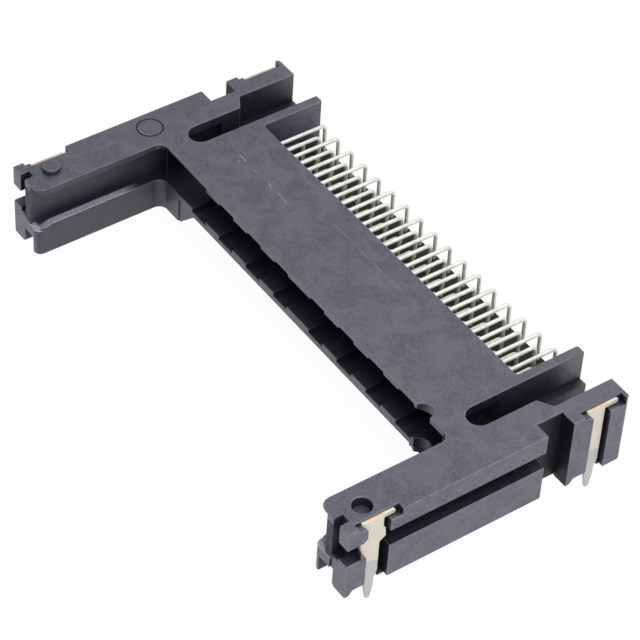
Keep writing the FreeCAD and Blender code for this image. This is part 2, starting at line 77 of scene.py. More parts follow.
class NodeBoard:
    """Adds nodes and links to one node tree."""

    def __init__(self, tree: bpy.types.NodeTree) -> None:
        """Start on a tree.

        Args:
            tree: The shader or geometry tree to fill.
        """
        self.tree = tree

    @classmethod
    def cleared(cls, owner: bpy.types.Material | bpy.types.World) -> "NodeBoard":
        """Board on the emptied node tree of a material or a world."""
        owner.use_nodes = True
        owner.node_tree.nodes.clear()
        return cls(owner.node_tree)

    def add(self, kind: str, inputs: dict | None = None, **settings) -> bpy.types.Node:
        """Add one node.

        Args:
            kind: Blender's node type name.
            inputs: Socket name or index to a value, or to an output socket to link from.
            settings: Attributes of the node itself.

        Returns:
            The new node.
        """
        node = self.tree.nodes.new(kind)
        for name, value in settings.items():
            setattr(node, name, value)
        for key, value in (inputs or {}).items():
            self.feed(node.inputs[key], value)
        return node

    def first(self, kind: str, inputs: dict | None = None, **settings) -> Socket:
        """Add one node and give its first output socket."""
        return self.add(kind, inputs, **settings).outputs[0]

    def feed(self, socket: Socket, value) -> None:
        """Give a socket a constant, or a link when the value is an output socket."""
        if isinstance(value, Socket):
            self.tree.links.new(value, socket)
        else:
            socket.default_value = value

    def math(self, operation: str, first, second=0.0) -> Socket:
        """Result socket of a Math node.

        Args:
            operation: Name of the operation.
            first: First value or socket.
            second: Second value or socket.

        Returns:
            The node's output socket.
        """
        return self.add("ShaderNodeMath", {0: first, 1: second}, operation=operation).outputs[0]

    def times(self, first, *others) -> Socket:
        """Product of two or more values or sockets."""
        for other in others:
            first = self.math("MULTIPLY", first, other)
        return first

    def vector(self, operation: str, first, second, result: int | str = 0) -> Socket:
        """One result socket of a Vector Math node."""
        return self.add("ShaderNodeVectorMath", {0: first, 1: second}, operation=operation).outputs[result]

    def ramp(self, value, low: float, high: float, start: float = 0.0,
             end: float = 1.0) -> Socket:
        """Smooth step from start to end while the value runs from low to high."""
        node = self.add("ShaderNodeMapRange", {"Value": value, "From Min": low, "From Max": high,
                                               "To Min": start, "To Max": end},
                        interpolation_type="SMOOTHSTEP")
        return node.outputs["Result"]

    def mix(self, factor, first, second) -> Socket:
        """Colour socket that goes from first to second with the factor."""
        node = self.add("ShaderNodeMix", data_type="RGBA")
        self.feed(node.inputs["Factor"], factor)
        for socket, value in ((node.inputs[6], first), (node.inputs[7], second)):
            self.feed(socket, (*value, 1.0) if isinstance(value, tuple) else value)
        return node.outputs[2]


class SurfaceEffects:
    """Shader node groups that several finishes use."""

    def __init__(self) -> None:
        """Build the groups once."""
        self.grain = self._grain()
        self.stroke = self._stroke()
        # Ambient-occlusion mask for the painted shade in recesses.
        self.exposure = self._recess_shade_group()

    @staticmethod
    def _group(name: str, inputs: Sequence[tuple[str, str, object]],
               outputs: Sequence[tuple[str, str]]) -> tuple[bpy.types.NodeTree, NodeBoard]:
        """Empty shader group with named sockets.

        Args:
            name: Name of the group.
            inputs: Name, socket type and default of each input.
            outputs: Name and socket type of each output.

        Returns:
            The group and a board for its nodes.
        """
        tree = bpy.data.node_groups.new(name, "ShaderNodeTree")
        for label, kind, default in inputs:
            socket = tree.interface.new_socket(label, in_out="INPUT", socket_type=kind)
            socket.default_value = default
        for label, kind in outputs:
            tree.interface.new_socket(label, in_out="OUTPUT", socket_type=kind)
        return tree, NodeBoard(tree)

    def _grain(self) -> bpy.types.NodeTree:
        """Cloudy tone, fine grain and their height, for moulded and plated surfaces."""
        tree, board = self._group(
            "surface_grain",
            [("Cloud Scale", "NodeSocketFloat", 300.0), ("Grain Scale", "NodeSocketFloat", 4000.0)],
            [("Cloud", "NodeSocketFloat"), ("Grain", "NodeSocketFloat")])
        given = board.add("NodeGroupInput")
        place = board.add("ShaderNodeTexCoord").outputs["Object"]
        cloud = board.add("ShaderNodeTexNoise", {"Vector": place, "Scale": given.outputs["Cloud Scale"],
                                                 "Detail": 5.0, "Roughness": 0.6, "Distortion": 1.2})
        grain = board.add("ShaderNodeTexNoise", {"Vector": place, "Scale": given.outputs["Grain Scale"],
                                                 "Detail": 3.0, "Roughness": 0.7})
        board.add("NodeGroupOutput", {"Cloud": board.ramp(cloud.outputs["Fac"], 0.3, 0.7),
                                      "Grain": board.ramp(grain.outputs["Fac"], 0.25, 0.75)})
        return tree

    def _recess_shade_group(self) -> bpy.types.NodeTree:
        """Mask for painted shade in recesses: 1 where nothing of the piece stands near, 0 deep in its
        recesses.
        """
        tree, board = self._group("painted_recess_shade_mask", [("Reach", "NodeSocketFloat", 0.008)],
                                  [("Mask", "NodeSocketFloat")])
        given = board.add("NodeGroupInput")
        open_sky = board.add("ShaderNodeAmbientOcclusion", {"Distance": given.outputs["Reach"]},
                             samples=8, only_local=True)
        board.add("NodeGroupOutput", {"Mask": board.ramp(open_sky.outputs["AO"], 0.42, 0.96)})
        return tree

    def _stroke(self) -> bpy.types.NodeTree:
        """Mask of a straight stroke seen from above, such as a scratch, between two points."""
        vector = "NodeSocketVector"
        tree, board = self._group(
            "stroke_mask",
            [("Start", vector, (0.0, 0.0, 0.0)), ("End", vector, (0.0, 0.0, 0.0)),
             ("Half Width", "NodeSocketFloat", 0.00005)],
            [("Mask", "NodeSocketFloat")])
        given = board.add("NodeGroupInput")
        place = board.add("ShaderNodeTexCoord").outputs["Object"]
        flat = board.vector("MULTIPLY", place, (1.0, 1.0, 0.0))
        along = board.vector("SUBTRACT", given.outputs["End"], given.outputs["Start"])
        offset = board.vector("SUBTRACT", flat, given.outputs["Start"])
        dot = board.vector("DOT_PRODUCT", offset, along, "Value")
        square = board.vector("DOT_PRODUCT", along, along, "Value")
        share = board.add("ShaderNodeMath", {0: dot, 1: square}, operation="DIVIDE", use_clamp=True)
        nearest = board.add("ShaderNodeVectorMath", {0: along, "Scale": share.outputs[0]},
                            operation="SCALE")
        gap = board.vector("DISTANCE", offset, nearest.outputs[0], "Value")
        board.add("NodeGroupOutput", {"Mask": board.ramp(gap, given.outputs["Half Width"], 0.0)})
        return tree


@dataclass(frozen=True)
class Scratch:
    """A scratch or flow line on the top of the housing, from above, in millimetres."""

    start: tuple[float, float]
    end: tuple[float, float]
    half_width: float
    strength: float


class Facing(Enum):
    """Which faces a patch of painted light and shade covers."""

    UP = "up"
    FRONT = "front"
    INWARD = "inward"
    OUTWARD = "outward"


@dataclass(frozen=True)
class LightShadePatch:
    """Box on both arms, in millimetres, in which the faces of one direction have another tone: a painted
    shade or a painted highlight, in colour and coat weight.
    """

    across: tuple[float, float]
    along: tuple[float, float]
    height: tuple[float, float]
    facing: Facing
    colour: Colour
    strength: float = 1.0
    sheen: float = 1.0
    soft: Place = (0.1, 0.1, 0.05)
    grain_low_share: float = 0.6

    @staticmethod
    def _between(board: NodeBoard, value: Socket, span: tuple[float, float],
                 soft: float) -> Socket:
        """Mask that is 1 while a value in metres lies in a span in millimetres."""
        rise = board.ramp(value, (span[0] - soft) * MM, (span[0] + soft) * MM)
        fall = board.ramp(value, (span[1] + soft) * MM, (span[1] - soft) * MM)
        return board.times(rise, fall)

    def painted(self, board: NodeBoard, grain: Socket, tone: Socket,
                sheen: Socket) -> tuple[Socket, Socket]:
        """Lay the painted shade or highlight over a tone and a sheen.

        Args:
            board: Board of the material.
            grain: Fine grain, which breaks the patch up.
            tone: Colour under the patch.
            sheen: Coat weight under the patch.

        Returns:
            The colour and the coat weight with the patch.
        """
        place = board.add("ShaderNodeTexCoord")
        parts = board.add("ShaderNodeSeparateXYZ", {0: place.outputs["Object"]}).outputs
        normal = board.add("ShaderNodeSeparateXYZ", {0: place.outputs["Normal"]}).outputs
        side = board.math("SIGN", parts["X"])
        outward = board.times(normal["X"], side)
        turned = {Facing.UP: normal["Z"], Facing.FRONT: board.times(normal["Y"], -1.0),
                  Facing.INWARD: board.times(outward, -1.0), Facing.OUTWARD: outward}
        mask = board.ramp(turned[self.facing], 0.3, 0.7)
        values = (board.math("ABSOLUTE", parts["X"]), parts["Y"], parts["Z"])
        for value, span, soft in zip(values, (self.across, self.along, self.height), self.soft):
            mask = board.times(mask, self._between(board, value, span, soft))
        # The grain breaks up the painted light and shade.
        grain_broken = board.ramp(grain, 0.1, 0.7, self.grain_low_share * self.strength, self.strength)
        mask = board.times(mask, grain_broken)
        change = board.times(mask, board.math("SUBTRACT", self.sheen, sheen))
        return board.mix(mask, tone, self.colour), board.math("ADD", sheen, change)


@dataclass(frozen=True, kw_only=True)
class Finish(ABC):
    """Procedural finish: fine grain and clouds under one principled shader."""

    name: str
    roughness: float = 0.42
    cloud_scale: float
    bump: float
    bump_depth: float = 0.01

    @abstractmethod
    def values(self, board: NodeBoard, effects: SurfaceEffects, grain: Socket,
               cloud: Socket) -> dict[str, object]:
        """What the finish feeds to the shader.

        Args:
            board: Board of the material.
            effects: The shared shader groups.
            grain: Fine grain, from 0 to 1.
            cloud: Cloudy tone, from 0 to 1.

        Returns:
            Constants and sockets by the name of the shader's input.
        """

    def material(self, effects: SurfaceEffects) -> bpy.types.Material:
        """Build the material from the shared shader groups."""
        material = bpy.data.materials.new(self.name)
        board = NodeBoard.cleared(material)
        group = board.add("ShaderNodeGroup", node_tree=effects.grain)
        group.inputs["Cloud Scale"].default_value = self.cloud_scale
        grain, cloud = group.outputs["Grain"], group.outputs["Cloud"]
        shader = board.add("ShaderNodeBsdfPrincipled", self.values(board, effects, grain, cloud))
        bump = board.add("ShaderNodeBump", {"Height": grain, "Strength": self.bump,
                                            "Distance": self.bump_depth * MM})
        for name in ("Normal", "Coat Normal"):
            board.feed(shader.inputs[name], bump.outputs["Normal"])
        board.add("ShaderNodeOutputMaterial", {"Surface": shader.outputs["BSDF"]})
        return material


@dataclass(frozen=True, kw_only=True)
class MouldedPlastic(Finish):
    """Satin moulded plastic with a cloudy flow tone, and, when given, painted shade in recesses and patches
    of painted light and shade.
    """

    dark: Colour
    light: Colour
    roughness: float = 0.45
    specular: float = 0.2
    coat_roughness: float = 0.42
    coat_ior: float = 1.5
    cloud_scale: float = 340.0
    bump: float = 0.6
    bump_depth: float = 0.02
    speckle: float = 0.7
    haze_of_grain: tuple[float, float] = (0.3, 0.62)
    haze_of_cloud: tuple[float, float] = (0.32, 0.55)
    recess_shade_coat: float = 0.12
    # Colour of the painted shade in recesses; None leaves the painted shade out.
    recess_shade_colour: Colour | None = None
    light_shade_patches: tuple[LightShadePatch, ...] = ()
    scratches: tuple[Scratch, ...] = ()

    def values(self, board: NodeBoard, effects: SurfaceEffects, grain: Socket,
               cloud: Socket) -> dict[str, object]:
        """Cloudy tone with scratches, painted shade in recesses and patches of painted light and shade,
        under a hazy coat.
        """
        tone = board.mix(cloud, self.dark, self.light)
        tone = board.mix(board.ramp(grain, 0.0, 1.0, 0.0, self.speckle), tone, self.light)
        for scratch in self.scratches:
            mask = board.add("ShaderNodeGroup", node_tree=effects.stroke)
            mask.inputs["Start"].default_value = (scratch.start[0] * MM, scratch.start[1] * MM, 0.0)
            mask.inputs["End"].default_value = (scratch.end[0] * MM, scratch.end[1] * MM, 0.0)
            mask.inputs["Half Width"].default_value = scratch.half_width * MM
            shade = tuple(channel * scratch.strength for channel in self.light)
            broken = board.ramp(grain, 0.25, 0.6, 0.25, 1.0)
            tone = board.mix(board.times(mask.outputs["Mask"], broken), tone, shade)
        rough = board.ramp(cloud, 0.0, 1.0, self.roughness - 0.06, self.roughness + 0.06)
        plain = {"Roughness": rough, "Specular IOR Level": self.specular}
        if not self.recess_shade_colour:
            return {"Base Color": tone, **plain}
        # Painted shade: recesses take a darker colour and keep little of the coat.
        exposure = board.add("ShaderNodeGroup", node_tree=effects.exposure)
        tone = board.mix(exposure.outputs["Mask"], self.recess_shade_colour, tone)
        sheen = board.ramp(exposure.outputs["Mask"], 0.0, 0.8, self.recess_shade_coat, 1.0)
        haze = board.math("ADD", board.ramp(grain, 0.0, 1.0, *self.haze_of_grain),
                          board.ramp(cloud, 0.0, 1.0, *self.haze_of_cloud))
        sheen = board.times(sheen, haze)
        # Patches of painted light and shade over the tone and the coat.
        for patch in self.light_shade_patches:
            tone, sheen = patch.painted(board, grain, tone, sheen)
        return {"Base Color": tone, **plain, "Coat Weight": sheen,
                "Coat Roughness": self.coat_roughness, "Coat IOR": self.coat_ior}


@dataclass(frozen=True, kw_only=True)
class PlatedWire(Finish):
    """Bright plated wire with faint drawing marks."""

    colour: Colour
    stain: Colour
    metallic: float = 0.45
    cloud_scale: float = 700.0
    bump: float = 0.15

    def values(self, board: NodeBoard, effects: SurfaceEffects, grain: Socket,
               cloud: Socket) -> dict[str, object]:
        """Plating with faint stains."""
        rough = board.ramp(grain, 0.0, 1.0, self.roughness - 0.05, self.roughness + 0.08)
        return {"Base Color": board.mix(cloud, self.colour, self.stain), "Roughness": rough,
                "Metallic": self.metallic}


@dataclass(frozen=True, kw_only=True)
class TinnedSheet(Finish):
    """Matte tin on a copper sheet: cream above the plating line, paler silver below it.

    The sheared edge along the top is bare copper, and the plating line runs down at a slant.
    """

    upper: Colour
    lower: Colour
    copper: Colour
    line_z: float = 2.95
    line_blur: tuple[float, float] = (0.02, 0.18)
    ripple: float = 0.2
    slant: float = 0.3
    clip_y: tuple[float, float] = (-12.3, 14.75)
    copper_z: float = 8.75
    copper_start: float = -0.8
    copper_end: float = 1.3
    copper_blur: float = 0.4
    metallic: float = 0.4
    cloud_scale: float = 500.0
    bump: float = 0.2

    def values(self, board: NodeBoard, effects: SurfaceEffects, grain: Socket,
               cloud: Socket) -> dict[str, object]:
        """Tin above and below the plating line, and copper on the sheared edge."""
        place = board.add("ShaderNodeTexCoord")
        parts = board.add("ShaderNodeSeparateXYZ", {0: place.outputs["Object"]}).outputs
        front, rear = self.clip_y
        is_rear = board.math("GREATER_THAN", parts["Y"], 0.0)
        middle = board.math("ADD", board.times(is_rear, (rear - front) * MM), front * MM)
        offset = board.times(board.math("SUBTRACT", parts["Y"], middle), self.slant)
        ripple = board.times(cloud, self.ripple * MM)
        height = board.math("ADD", board.math("ADD", parts["Z"], offset), ripple)
        above = board.ramp(height, *((self.line_z + blur) * MM for blur in self.line_blur))
        tone = board.mix(above, self.lower, self.upper)
        tone = board.mix(board.ramp(cloud, 0.0, 1.0, 0.0, 0.25), tone, self.lower)
        facing = board.add("ShaderNodeSeparateXYZ", {0: place.outputs["Normal"]}).outputs["Z"]
        sheared = board.times(board.ramp(facing, 0.75, 0.97),
                              board.math("GREATER_THAN", parts["Z"], self.copper_z * MM))
        plate = board.times(board.math("LESS_THAN", offset, self.slant * self.copper_end * MM),
                            board.ramp(offset, self.slant * (self.copper_start - self.copper_blur) * MM,
                                       self.slant * (self.copper_start + self.copper_blur) * MM))
        grain_broken = board.ramp(grain, 0.0, 1.0, 0.55, 1.0)
        sheared = board.times(sheared, plate, grain_broken)
        return {"Base Color": board.mix(sheared, tone, self.copper), "Roughness": self.roughness,
                "Metallic": self.metallic}


def object_of(name: str, mesh: bpy.types.Mesh) -> bpy.types.Object:
    """New object at the world origin that shows a mesh."""
    piece = bpy.data.objects.new(name, mesh)
    bpy.context.scene.collection.objects.link(piece)
    return piece


def shown(name: str, shape: bmesh.types.BMesh,
          finishes: Iterable[bpy.types.Material] = ()) -> bpy.types.Object:
    """New object from a shape and its finishes; the shape is freed."""
    mesh = bpy.data.meshes.new(name)
    shape.to_mesh(mesh)
    shape.free()
    for finish in finishes:
        mesh.materials.append(finish)
    return object_of(name, mesh)


def baked(name: str, source: bpy.types.Object) -> bpy.types.Object:
    """Plain-mesh copy of an object with its modifiers applied; the source is removed.

    Args:
        name: Name of the new piece.
        source: Object with live modifiers.

    Returns:
        The new object at the origin.
    """
    graph = bpy.context.evaluated_depsgraph_get()
    mesh = bpy.data.meshes.new_from_object(source.evaluated_get(graph))
    mesh.name = name
    piece = object_of(name, mesh)
    bpy.data.objects.remove(source)
    return piece


def joined(name: str, pieces: Iterable[bpy.types.Object]) -> bpy.types.Object:
    """One object from several plain meshes that share their materials.

    Args:
        name: Name of the new piece.
        pieces: Objects at the origin, removed afterwards.

    Returns:
        The joined object.
    """
    shape = bmesh.new()
    materials: list[bpy.types.Material] = []
    for piece in list(pieces):
        shape.from_mesh(piece.data)
        materials = list(piece.data.materials)
        bpy.data.objects.remove(piece)
    return shown(name, shape, materials)


class EdgeRounder:
    """Rounds the outer edges of a shape, and leaves sharp those whose rounding would spoil a face.

    A new corner further than SPIKE widths from every outer edge is a spike, and the edges within
    REACH widths of it stay sharp.
    """

    SAMPLE = 0.1 * MM
    SPIKE = 1.9
    REACH = 2.2
    FOLD_AREA = 1e-3 * MM * MM
    ROUNDS = 8

    def __init__(self, base: bmesh.types.BMesh, width: float, sharpest: float, index: int) -> None:
        """Note where the outer edges run.

        Args:
            base: The shape with sharp edges.
            width: Width of the rounded edges, in metres.
            sharpest: Turn, in degrees, from which an outer edge is rounded.
            index: Material index of the rounded edges.
        """
        self.base, self.width, self.index = base, width, index
        turn = math.radians(sharpest)
        self.edges = [edge.index for edge in base.edges
                      if len(edge.link_faces) == 2 and edge.calc_face_angle_signed(0) > turn]
        samples = [(point, edge) for edge in self.edges for point in self._along(base.edges[edge])]
        self.owners = [edge for _, edge in samples]
        self.tree = KDTree(len(samples))
        for number, (point, _) in enumerate(samples):
            self.tree.insert(point, number)
        self.tree.balance()

    def _along(self, edge: bmesh.types.BMEdge) -> list[Vector]:
        """Points along an edge, close together."""
        near, far = (vert.co for vert in edge.verts)
        count = max(1, math.ceil((far - near).length / self.SAMPLE))
        return [near.lerp(far, step / count) for step in range(count + 1)]

    @classmethod
    def _is_folded(cls, face: bmesh.types.BMFace) -> bool:
        """True where the face's triangles cover another area than its outline does."""
        if len(face.verts) < 5:
            return False
        corners = [vert.co for vert in face.verts]
        parts = tessellate_polygon([corners])
        area = sum(area_tri(*(corners[index] for index in part)) for part in parts)
        return abs(area - face.calc_area()) > cls.FOLD_AREA

    @staticmethod
    def _crossings(face: bmesh.types.BMFace) -> list[Vector]:
        """Places where the outline of a face crosses itself."""
        turn = face.normal.to_track_quat("Z", "Y").inverted()
        origin = face.verts[0].co
        flat = [(turn @ (vert.co - origin)).xy for vert in face.verts]
        sides = list(zip(flat, flat[1:] + flat[:1]))
        places = []
        for first, (start, end) in enumerate(sides):
            for other in sides[first + 2:len(sides) - (first == 0)]:
                meet = intersect_line_line_2d(start, end, *other)
                if meet is not None:
                    places.append(turn.inverted() @ meet.to_3d() + origin)
        return places

    def _spoiled(self, trial: bmesh.types.BMesh, known: set[tuple[float, ...]]) -> list[Vector]:
        """Places where the rounding made a spike or a face that crosses itself.

        Args:
            trial: The rounded shape.
            known: Places of the corners that were there before.

        Returns:
            The places, to leave sharp.
        """
        spots = []
        for vert in trial.verts:
            if tuple(vert.co) in known:
                continue
            if self.tree.find(vert.co)[2] > self.SPIKE * self.width + self.SAMPLE / 2:
                spots += [vert.co.copy()] + [edge.other_vert(vert).co.copy() for edge in vert.link_edges]
        for face in trial.faces:
            if self._is_folded(face):
                spots += self._crossings(face)
        return spots

    def rounded(self) -> tuple[bmesh.types.BMesh, int]:
        """Round as many edges as stay clean.

        Returns:
            The rounded shape, and how many edges were left sharp.
        """
        known = {tuple(vert.co) for vert in self.base.verts}
        sharp: set[int] = set()
        for _ in range(self.ROUNDS):
            trial = self.base.copy()
            trial.edges.ensure_lookup_table()
            bmesh.ops.bevel(trial, geom=[trial.edges[edge] for edge in self.edges if edge not in sharp],
                            offset=self.width, offset_type="OFFSET", segments=2, profile=0.5,
                            affect="EDGES", clamp_overlap=False, material=self.index)
            spots = self._spoiled(trial, known)
            if not spots:
                break
            for spot in spots:
                near = self.tree.find_range(spot, self.REACH * self.width)
                sharp.update(self.owners[number] for _, number, _ in near)
            trial.free()
        folded = [face for face in trial.faces if self._is_folded(face)]
        bmesh.ops.triangulate(trial, faces=folded)
        return trial, len(sharp)


def corner_key(face: bmesh.types.BMFace) -> tuple:
    """Places of a face's corners, in an order that doesn't depend on the first one."""
    return tuple(sorted(tuple(vert.co) for vert in face.verts))


def softened(name: str, node: str, width: float, finishes: Sequence[bpy.types.Material],
             sharpest: float = 32.0,
             change: Callable[[bmesh.types.BMesh], None] | None = None) -> bpy.types.Object:
    """Copy of a node with its facets merged and its outer edges rounded.

    Args:
        name: Name of the new piece.
        node: CAD node to copy.
        width: Width of the rounded edges, in millimetres.
        finishes: Materials of the faces and of the edges.
        sharpest: Turn, in degrees, from which an outer edge is rounded.
        change: Last change to the sharp shape, before its edges are rounded.

    Returns:
        The new object.
    """
    base = bmesh.new()
    base.from_mesh(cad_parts[node].data)
    bmesh.ops.remove_doubles(base, verts=base.verts, dist=MERGE_GAP * MM)
    bmesh.ops.dissolve_limit(base, angle_limit=math.radians(FLAT_TURN), verts=base.verts,
                             edges=base.edges)
    bmesh.ops.recalc_face_normals(base, faces=base.faces)
    if change:
        change(base)
    base.edges.index_update()
    base.edges.ensure_lookup_table()
    for face in base.faces:
        face.smooth, face.material_index = True, 0
    shape, left = EdgeRounder(base, width * MM, sharpest, len(finishes) - 1).rounded()
    LOG.info("%s: %d edges left sharp", name, left)
    before = {corner_key(face) for face in base.faces}
    for edge in shape.edges:
        flat = all(face.calc_area() > 4 * (width * MM) ** 2 or corner_key(face) in before
                   for face in edge.link_faces)
        turn = abs(edge.calc_face_angle_signed(0)) if len(edge.link_faces) == 2 else math.pi
        edge.smooth = turn < math.radians(FACE_CREASE if flat else ROUNDING_CREASE)
    base.free()
    raw = shown(name + "_raw", shape, finishes)
    normals = raw.modifiers.new("flat_faces", "WEIGHTED_NORMAL")
    normals.weight = 100
    normals.keep_sharp = True
    return baked(name, raw)


class SubAssembly(ABC):
    """Some pieces of the visual model that belong together."""

    @abstractmethod
    def build(self, effects: SurfaceEffects) -> list[bpy.types.Object]:
        """Make and dress the pieces.

        Args:
            effects: The shared shader groups.

        Returns:
            The finished pieces.
        """


@dataclass
class HousingShell(SubAssembly):
    """Moulded housing: body, guide arms and posts in one piece."""

    edge_width: float = 0.11
    # Painted shade darkens the inner faces of the arms, the corner of the mouth, the front faces beside the
    # wall noses, the notch before each post and the floor of the locating hole; painted highlights lighten
    # the outer faces of the rear wall and the rail, the lit strip along each ledge and the top of each
    # ledge nose.
    light_shade_patches: tuple[LightShadePatch, ...] = (
        LightShadePatch((25.0, 27.4), (-15.8, 0.5), (-1.0, 10.0), Facing.INWARD, (0.02, 0.019, 0.027), 0.8,
                  0.8, (0.1, 1.0, 0.1)),
        LightShadePatch((24.6, 27.4), (-1.3, 0.8), (4.2, 8.95), Facing.FRONT, (0.008, 0.008, 0.011), 1.0, 0.05,
                  grain_low_share=1.0),
        LightShadePatch((27.0, 28.6), (-15.7, -15.2), (3.8, 8.2), Facing.FRONT, (0.005, 0.005, 0.012), 1.0, 0.05),
        LightShadePatch((27.9, 29.6), (-14.8, -14.1), (4.0, 8.4), Facing.FRONT, (0.005, 0.005, 0.012), 1.0,
                  0.05),
        LightShadePatch((23.0, 23.6), (15.6, 19.0), (5.7, 9.3), Facing.OUTWARD, (0.07, 0.072, 0.085), 0.9, 0.8,
                  (0.1, 1.8, 0.3)),
        LightShadePatch((23.9, 24.6), (12.0, 19.0), (2.6, 5.3), Facing.OUTWARD, (0.05, 0.052, 0.062), 0.8, 0.5,
                  (0.1, 1.0, 0.1)),
        LightShadePatch((26.0, 29.9), (7.9, 12.5), (-1.0, 8.9), Facing.OUTWARD, (0.006, 0.006, 0.009), 1.0, 0.08,
                  grain_low_share=0.95),
        LightShadePatch((26.0, 31.0), (10.8, 14.0), (-1.0, 8.9), Facing.FRONT, (0.006, 0.006, 0.009), 1.0, 0.08,
                  grain_low_share=0.95),
        LightShadePatch((25.4, 26.35), (-14.9, -4.0), (3.3, 4.2), Facing.UP, (0.3, 0.31, 0.36), 1.0, 1.0,
                  (0.08, 1.5, 0.05)),
        LightShadePatch((27.1, 29.2), (-13.3, -11.1), (7.8, 8.2), Facing.UP, (0.045, 0.045, 0.06), 0.9, 0.6),
        LightShadePatch((25.4, 28.6), (-15.8, -15.0), (2.9, 3.75), Facing.UP, (0.34, 0.36, 0.43), 1.0, 1.0,
                  (0.1, 0.2, 0.05)),
    )
    hole_place: tuple[float, float] = (28.15, -12.2)
    hole_radius: float = 1.05
    hole_root_z: float = 6.87
    hole_end_radius: float = 0.97
    hole_end_z: float = 7.97
    scratches: tuple[Scratch, ...] = (
        Scratch((-19.55, 5.87), (-18.28, 5.79), 0.09, 5.5),
        Scratch((-18.9, 5.3), (-18.5, 5.1), 0.09, 3.5),
        Scratch((-16.77, 5.79), (-15.88, 5.70), 0.08, 4.0),
        Scratch((-14.1, 5.95), (-13.4, 5.72), 0.11, 3.2),
        Scratch((-12.3, 5.9), (-9.94, 5.72), 0.08, 3.6),
        Scratch((-12.6, 5.2), (-11.4, 5.1), 0.07, 1.5),
        Scratch((-5.2, 8.1), (6.1, 8.08), 0.05, 3.2),
    )

    def _moulded_hole(self, base: bmesh.types.BMesh) -> None:
        """Give the locating hole a shallow tapered wall that stays clear of the groove beside it.

        Args:
            base: The housing's shape, changed in place.
        """
        middle = Vector(self.hole_place) * MM
        reach, floor_z = (self.hole_radius + 0.01) * MM, (self.hole_root_z - 0.1) * MM
        wall = [face for face in base.faces
                if all((vert.co.xy - middle).length < reach and vert.co.z > floor_z for vert in face.verts)]
        bmesh.ops.delete(base, geom=wall, context="FACES")
        top_z = max(vert.co.z for vert in base.verts if (vert.co.xy - middle).length < reach)
        rims = [edge for edge in base.edges if edge.is_boundary]
        mouth = [edge for edge in rims if all(vert.co.z > top_z - 0.01 * MM for vert in edge.verts)]
        bmesh.ops.holes_fill(base, edges=[edge for edge in rims if edge not in mouth])
        pulled = bmesh.ops.extrude_edge_only(base, edges=mouth)["geom"]
        for vert in (item for item in pulled if isinstance(item, bmesh.types.BMVert)):
            flat = middle + (vert.co.xy - middle).normalized() * (self.hole_end_radius * MM)
            vert.co = (flat.x, flat.y, self.hole_end_z * MM)
        bmesh.ops.holes_fill(base, edges=[edge for edge in base.edges if edge.is_boundary])
        bmesh.ops.recalc_face_normals(base, faces=base.faces)

    def build(self, effects: SurfaceEffects) -> list[bpy.types.Object]:
        """Make the housing, with painted highlights on its rounded edges: a lighter copy of the moulding.
        """
        face = MouldedPlastic(name="housing_moulding", dark=(0.031, 0.026, 0.043),
                              light=(0.058, 0.057, 0.086), recess_shade_colour=(0.01, 0.01, 0.015),
                              light_shade_patches=self.light_shade_patches, scratches=self.scratches)
        # Painted highlight: the rounded edges get a lighter copy of the moulding.
        edge = MouldedPlastic(name="housing_edge_highlight", dark=(0.075, 0.076, 0.097),
                              light=(0.115, 0.118, 0.144), recess_shade_colour=(0.012, 0.012, 0.016),
                              roughness=0.42, light_shade_patches=self.light_shade_patches)
        piece = softened("housing_shell", "housing", self.edge_width,
                         [face.material(effects), edge.material(effects)], change=self._moulded_hole)
        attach(piece, BODY)
        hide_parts("housing")
        return [piece]


